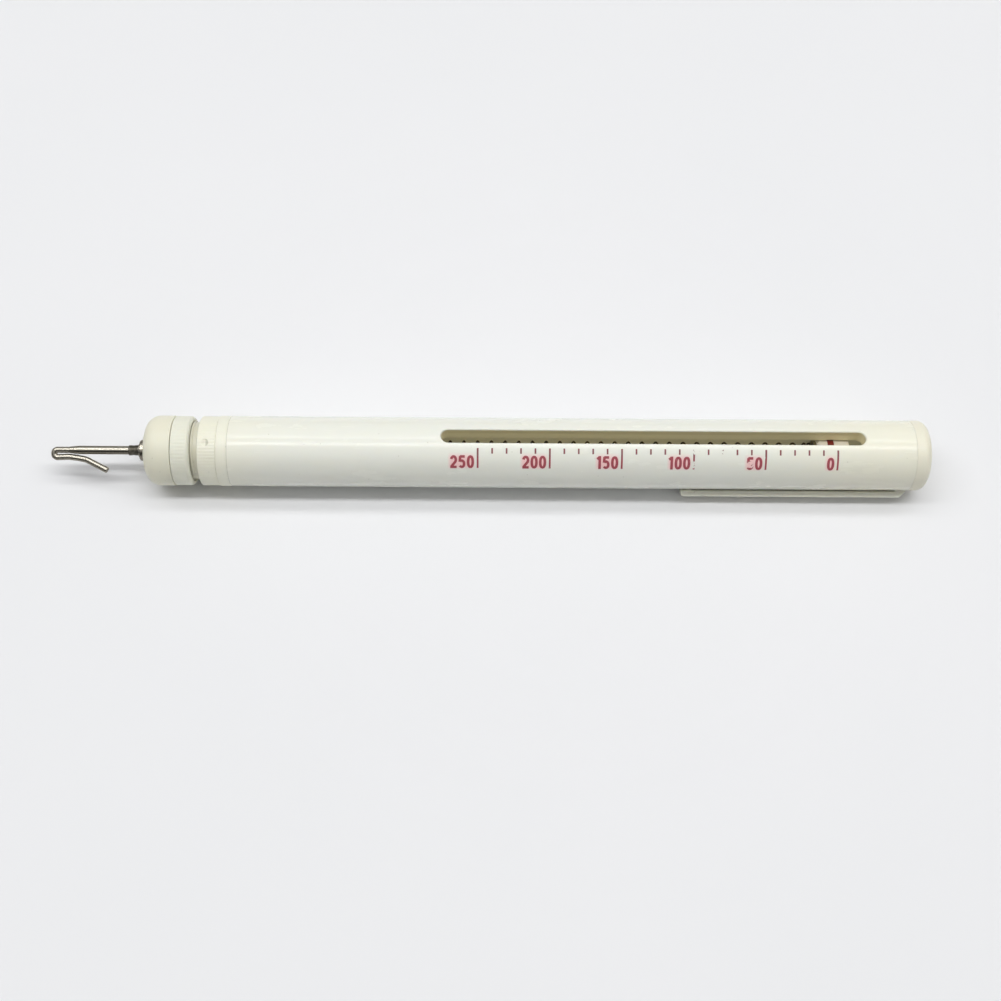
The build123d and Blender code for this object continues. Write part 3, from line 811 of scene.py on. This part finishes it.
def pocket_clip():
    """The clip's outline in its own upright plane, carried across its width. Towards both sides the
    outline shrinks by edge (1 - cos(tilt)) as the width grows by edge sin(tilt), which rounds all edges."""
    low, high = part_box("pocket_clip")
    tip, foot = low.x / MM, high.x / MM
    inner = barrel_radius + clip_gap
    outer = inner + clip_thickness
    sunk = barrel_radius - clip_foot_depth
    heel = foot - (outer - barrel_radius - clip_heel_lift)
    bead = inner - clip_bead_height
    bead_corners = zip(clip_bead_places, (inner, bead, bead, inner), (0.3, 0.37, 0.37, 0.3))
    corners = [
        (foot, sunk, 0.36), (foot, barrel_radius + clip_heel_lift, 0.36), (heel, outer, 0.5),
        (tip, outer, 0.45), (tip, inner, 0.37),
        *((tip + back, level, rounding) for back, level, rounding in bead_corners),
        (foot - clip_foot_length, inner, 0.35), (foot - clip_foot_length, sunk, 0.36),
    ]
    line, outward = outline(corners, 7)
    quarter = np.linspace(0, math.pi / 2, 6)
    tilt = np.concatenate([-quarter[::-1], quarter])
    across = np.repeat([-1, 1], len(quarter)) * (clip_width / 2 - clip_edge) + clip_edge * np.sin(tilt)
    shrink = clip_edge * (1 - np.cos(tilt))
    flat = line[None] - outward[None] * shrink[:, None, None]
    ways = outward[None] * np.cos(tilt)[:, None, None]
    turn = math.radians(clip_angle)
    cos, sin = math.cos(turn), math.sin(turn)

    def tipped(x, y, z):
        return np.stack([x, y * cos - z * sin, y * sin + z * cos], -1)

    points = tipped(flat[..., 0], across[:, None] + 0 * flat[..., 0], flat[..., 1])
    facing_ways = tipped(ways[..., 0], np.sin(tilt)[:, None] + 0 * ways[..., 0], ways[..., 1])
    return [(points, facing_ways)], [(points[end, :-1], facing_ways[end, 0]) for end in (0, -1)]


def ink(line, width):
    """A flat bar of ink along a line (x, arc length round the barrel), wrapped on the barrel. Its
    section has two corners just above the surface and two just under it, half the width to each side."""
    ahead = unit(np.gradient(line, axis=0))
    closed = np.allclose(line[0], line[-1])
    if closed:
        ahead[0] = ahead[-1] = unit(ahead[0] + ahead[-1])
    right = np.stack([ahead[:, 1], -ahead[:, 0]], 1)
    sides = np.array([1, -1, -1, 1, 1])
    heights = np.array([1, 1, -1, -1, 1])
    flat = line[:, None] + right[:, None] * sides[:, None] * width / 2
    flat = np.concatenate([line[None, :1].repeat(5, 1), flat, line[None, -1:].repeat(5, 1)])
    tall = np.concatenate([0 * heights[None], heights[None].repeat(len(line), 0), 0 * heights[None]])
    turn = flat[..., 1] / barrel_radius
    radial = np.stack([0 * turn, -np.sin(turn), np.cos(turn)], -1)
    around = np.stack([0 * turn, -np.cos(turn), -np.sin(turn)], -1)
    points = radial * (barrel_radius + tall[..., None] * ink_depth) + flat[..., :1] * np.array([1, 0, 0])
    right = np.concatenate([-ahead[:1], right, ahead[-1:]])[:, None]
    spread = np.concatenate([[0 * sides], sides[None].repeat(len(line), 0), [0 * sides]])
    share = np.where(tall == 0, 1, 0.05 * spread)
    way = right[..., :1] * np.array([1, 0, 0]) + right[..., 1:] * around
    rows = slice(1, -1) if closed else slice(None)
    return points[rows], (radial * tall[..., None] + way * share[..., None])[rows]


def bow(middle, reach_x, reach_y, start, end, count=28, power=1.0):
    """An arc of an ellipse, or of a squarer oval where power is under 1."""
    angle = np.radians(np.linspace(start, end, count))
    cos, sin = np.cos(angle), np.sin(angle)
    return np.array(middle) + np.stack([reach_x * np.sign(cos) * np.abs(cos) ** power,
                                        reach_y * np.sign(sin) * np.abs(sin) ** power], 1)


def digit_lines(digit):
    """Middle lines of a digit's strokes, in millimetres from its lower left corner."""
    left, right = digit_stroke / 2, digit_width - digit_stroke / 2
    low, high = digit_stroke / 2, digit_height - digit_stroke / 2
    centre = digit_width / 2
    across, up = (right - left) / 2, (high - low) / 2
    if digit == "0":
        return [bow((centre, digit_height / 2), across, up, 0, 360, 41, 0.86)]
    if digit == "1":
        post = centre + 0.38
        return [np.array([(post, 0), (post, digit_height)]),
                np.array([(post - 0.52, digit_height - 0.62), (post, digit_height - 0.2)])]
    bowl = up * 0.62
    if digit == "2":
        curl = bow((centre, high - bowl), across, bowl, 168, -28)
        curl = np.vstack([curl, [(left + 0.02, low + 0.08)]])
        return [curl, np.array([(left - 0.2, low), (right + 0.16, low)])]
    return [np.array([(left + 0.04, high), (right + 0.1, high)]),
            np.array([(left + 0.1, high + 0.1), (left + 0.02, digit_height * 0.5)]),
            bow((centre - 0.03, low + bowl), across, bowl, 138, -146)]


def scale_print():
    """The grids of the ticks, and of the numbers. A number stands left of its tick, on a line along X."""
    def arc_length(angle):
        return barrel_radius * math.radians(angle)

    ticks, numbers = [], []
    minor_step = scale_major_step / scale_minor_per_major
    for count in range(scale_minor_per_major * (scale_major_count - 1) + 1):
        x = scale_zero_x - count * minor_step
        major = count % scale_minor_per_major == 0
        ends = arc_length(tick_start_angle), arc_length(major_end_angle if major else minor_end_angle)
        line = np.stack([np.full(tick_points, x), np.linspace(*ends, tick_points)], 1)
        ticks.append(ink(line, major_tick_width if major else minor_tick_width))
    for count in range(scale_major_count):
        tick = scale_zero_x - count * scale_major_step
        right = tick - major_tick_width / 2 - digit_gap
        for digit in reversed(str(count * scale_units_per_major)):
            left = right - digit_width
            right -= digit_pitch
            for line in digit_lines(digit):
                line = np.stack([left + line[:, 0], arc_length(digit_base_angle) - line[:, 1]], 1)
                numbers.append(ink(sampled(line, 0.16), digit_stroke))
    return ticks, numbers


def cream(name, clean, aged):
    """Satin cream plastic of the caps and the smooth ring."""
    return plastic(Finish(name), clean, aged, 0.5, 0.42, 0.05, 0.003)


def floor_finish():
    """A matt, pale and faintly clouded floor."""
    finish = Finish("pale_floor")
    return finish.surface(
        Base_Color=finish.mix(finish.cloud(0.01, 3.0), tone(233, 234, 236), tone(238, 238, 240)),
        Roughness=0.7, Normal=finish.relief(finish.cloud(0.6, 4.0), 0.02, 0.3))


def strip_lamp(name, angle, width, watts, shading=True, sheen=True):
    """A long lamp over the barrel, along X, turned about the barrel's axis from above towards -Y. Seen
    from the barrel it is width degrees across. It can be left out of the shading or of the sheen."""
    turn = math.radians(angle)
    lamp = bpy.data.lights.new(name, "AREA")
    lamp.shape = "RECTANGLE"
    lamp.size = lamp_length
    lamp.size_y = 2 * lamp_distance * math.tan(math.radians(width / 2))
    lamp.energy = watts
    holder = bpy.data.objects.new(name, lamp)
    holder.location = (middle_x, -lamp_distance * math.sin(turn), lamp_distance * math.cos(turn))
    holder.rotation_euler = (turn, 0, 0)
    holder.visible_diffuse, holder.visible_glossy = shading, sheen
    bpy.context.scene.collection.objects.link(holder)


def soft_room():
    """A room that is bright overhead, a little further down on the far side, and dim at the horizon."""
    world = bpy.data.worlds.new("soft_room")
    world.use_nodes = True
    nodes, links = world.node_tree.nodes, world.node_tree.links
    height = nodes.new("ShaderNodeVectorMath")
    height.operation = "DOT_PRODUCT"
    height.inputs[1].default_value = (0.0, 0.12, 1.0)
    links.new(nodes.new("ShaderNodeTexCoord").outputs["Generated"], height.inputs[0])
    ramp = nodes.new("ShaderNodeValToRGB")
    ramp.color_ramp.interpolation = "EASE"
    for stop, (position, colour) in zip(ramp.color_ramp.elements, (room_dim, room_bright)):
        stop.position, stop.color = position, colour
    links.new(height.outputs["Value"], ramp.inputs["Fac"])
    links.new(ramp.outputs["Color"], nodes["Background"].inputs["Color"])
    return world


barrel_plastic = barrel_finish()
cap_plastic = cream("cap_plastic", tone(241, 239, 221), tone(239, 234, 213))
bush_plastic = cream("bush_plastic", tone(243, 242, 226), tone(241, 239, 220))
nose_plastic = cream("nose_plastic", tone(235, 234, 216), tone(234, 230, 208))
white_plastic = plastic(
    Finish("ring_plastic"), tone(235, 235, 219), tone(233, 231, 212),
    age=0.2, gloss=0.48, coat=0.02, depth=0.003)
slider_plastic = plastic(
    Finish("slider_plastic"), tone(226, 220, 206), tone(218, 208, 182),
    age=0.2, gloss=0.34, coat=0.2, depth=0.004)
clip_plastic = plastic(
    Finish("clip_plastic"), tone(236, 237, 226), tone(240, 232, 204),
    age=0.35, gloss=0.26, coat=0.4, depth=0.005)
collar_plastic = knurl_finish()
liner_plastic = liner_finish()
bright_metal = drawn_metal("bright_metal", tone(196, 190, 176), tone(128, 119, 100), 0.22, painted_reflection=0.7)
rod_steel = drawn_metal("rod_steel", tone(190, 185, 172), tone(150, 141, 122), 0.24, 0.05, 0.1, painted_reflection=0.8)
hook_steel = drawn_metal("hook_steel", tone(190, 185, 172), tone(144, 135, 116), 0.26, 0.1, 0.12, painted_reflection=0.5)
spring_steel = drawn_metal("spring_steel", tone(104, 96, 66), tone(62, 56, 36), 0.45, 0.3, 0.8)
dark_sleeve = sleeve_finish()
red_plastic = red_finish()
number_ink = ink_finish("number_ink", tone(178, 84, 92), tone(160, 70, 80), tone(168, 76, 85))
tick_ink = ink_finish("tick_ink", tone(178, 80, 90), tone(156, 68, 78), tone(136, 74, 77))

barrel_skin = slotted_tube(
    barrel_front, barrel_rear, barrel_bore, barrel_radius,
    window_width, window_front, window_rear, window_edge_round, seam_edge)
piece("barrel_tube", barrel_skin, "body", "barrel_white", barrel_plastic, "barrel")
liner_skin = slotted_tube(
    liner_front, liner_rear, liner_bore, liner_radius, window_width + 2 * liner_slot_margin,
    window_front - liner_slot_margin, window_rear + liner_slot_margin, liner_edge, liner_edge)
piece("liner_tube", liner_skin, "body", "liner_cream", liner_plastic, "guide_tube")
scale_ticks, scale_numbers = scale_print()
piece("scale_ticks", scale_ticks, "body", "index_red", tick_ink)
piece("scale_numbers", scale_numbers, "body", "index_red", number_ink)
piece("rear_cap", [turned([
    (0, 0, 0), (0, barrel_radius, cap_round), (barrel_rear, barrel_radius, seam_edge),
    (barrel_rear, liner_radius), (cap_front, liner_radius, 0.2), (cap_front, cup_radius),
    (cap_floor, cup_radius, 0.4), (cap_floor, 0, 0)])],
    "body", "cap_cream", cap_plastic, "end_cap")
piece("front_ring", [turned([
    (bush_rear, bush_bore), (bush_rear, liner_radius, 0.2), (barrel_front, liner_radius),
    (barrel_front, barrel_radius, seam_edge), (bush_front, barrel_radius, seam_edge),
    (bush_front, bush_bore)])],
    "body", "cap_cream", bush_plastic, "front_bush")
piece("knurled_neck", neck_collar(), "body", "cap_cream", collar_plastic, "neck_collar")
piece("locking_ring", lock_ring(), "lock", "ring_white", white_plastic, "lock_ring")
piece("domed_nose", [turned([
    (nose_rear, thread_bore), (nose_rear, nose_radius, 0.16), (nose_front, nose_radius, nose_round),
    (nose_front, eyelet_seat, 0.12), (nose_floor, eyelet_seat), (nose_floor, thread_bore, 0.4)], steps=10)],
    "nose", "cap_cream", nose_plastic, "nose_cap")
piece("rod_eyelet", [turned([
    (eyelet_rear, eyelet_bore, 0.1), (eyelet_rear, eyelet_body_radius, 0.1),
    (nose_front, eyelet_body_radius), (nose_front, eyelet_radius, 0.15), (eyelet_face, eyelet_radius, 0.4),
    (eyelet_face, eyelet_bore + eyelet_lip_wall, 0.1), (eyelet_front, eyelet_bore + eyelet_lip_wall, 0.1),
    (eyelet_front, eyelet_bore, 0.08)])],
    "nose", "bright_metal", bright_metal, "nose_bush")
crimp_start, crimp_end = crimp_places
crimp_radius = sleeve_radius - crimp_depth
piece("crimped_sleeve", [turned([
    (sleeve_rear, rod_fit_radius, 0.02), (sleeve_rear, sleeve_radius, 0.06),
    (sleeve_rear - crimp_start, sleeve_radius, 0.3), (sleeve_rear - crimp_end, crimp_radius, 0.3),
    (sleeve_front + crimp_end, crimp_radius, 0.3), (sleeve_front + crimp_start, sleeve_radius, 0.3),
    (sleeve_front, sleeve_radius, 0.06), (sleeve_front, rod_fit_radius, 0.02)], 48)],
    "rod", "sleeve_dark", dark_sleeve, "stop_sleeve")
piece("sliding_rod", [turned([
    (rod_rear, 0, 0), (rod_rear, rod_radius, 0.15), (rod_front + rod_front_taper, rod_radius, 1.5),
    (rod_front, wire_radius + rod_tip_wall, 0.02), (rod_front, 0, 0)], 48, 6)],
    "rod", "rod_steel", rod_steel, "pull_rod")
piece("wire_hook", hook(), "rod", "rod_steel", hook_steel, "hook")
piece("slider_body", [turned([
    (slider_rear, rod_fit_radius), (slider_rear, slider_radius, 0.3),
    (index_rear - index_play, slider_radius, 0.05), (index_rear - index_play, index_groove_radius, 0.05),
    (index_front + index_play, index_groove_radius, 0.05), (index_front + index_play, slider_radius, 0.05),
    (slider_front, slider_radius, 0.8), (slider_front, rod_fit_radius)], 72)],
    "rod", "ring_white", slider_plastic, "slider")
piece("red_index", [turned([
    (index_rear, index_groove_radius), (index_rear, index_radius, 0.12), (index_front, index_radius, 0.12),
    (index_front, index_groove_radius)], 72)],
    "rod", "index_red", red_plastic, "index_ring")
coil = piece("tension_spring", spring(), "seat", "spring_steel", spring_steel, "spring")
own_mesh(coil)
clip_sheets, clip_sides = pocket_clip()
piece("side_clip", clip_sheets, "clip", "clip_white", clip_plastic, "pocket_clip", caps=clip_sides)
for node in ("spring_seat", "spring_follower", "rod_washer", "rod_nut"):
    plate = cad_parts[node]
    plate.data.materials.clear()
    plate.data.materials.append(bright_metal)

edge = floor_size / 2
floor_level = -barrel_radius * MM
floor_corners = [(-edge, -edge), (edge, -edge), (edge, edge), (-edge, edge)]
floor_mesh = bpy.data.meshes.new("floor")
floor_mesh.from_pydata([(x, y, floor_level) for x, y in floor_corners], [], [(0, 1, 2, 3)])
floor_mesh.materials.append(floor_finish())
floor = bpy.data.objects.new("floor", floor_mesh)
bpy.context.scene.collection.objects.link(floor)

strip_lamp("far_strip", angle=-19.5, width=9.0, watts=6.3)
strip_lamp("near_strip", angle=-1.8, width=7.0, watts=11.8, sheen=False)
strip_lamp("near_sheen", angle=4.2, width=7.0, watts=9.2, shading=False)
bpy.context.scene.world = soft_room()
bpy.context.scene.view_settings.view_transform = "Standard"

lens = bpy.data.cameras.new("camera")
lens.sensor_width = 36.0
lens.lens = 48.88
camera = bpy.data.objects.new("camera", lens)
columns = zip(camera_right, camera_up, camera_ahead, camera_place)
rows = [[right, up, -ahead, place] for right, up, ahead, place in columns]
camera.matrix_world = Matrix(rows + [[0, 0, 0, 1]])
bpy.context.scene.collection.objects.link(camera)
bpy.context.scene.camera = camera
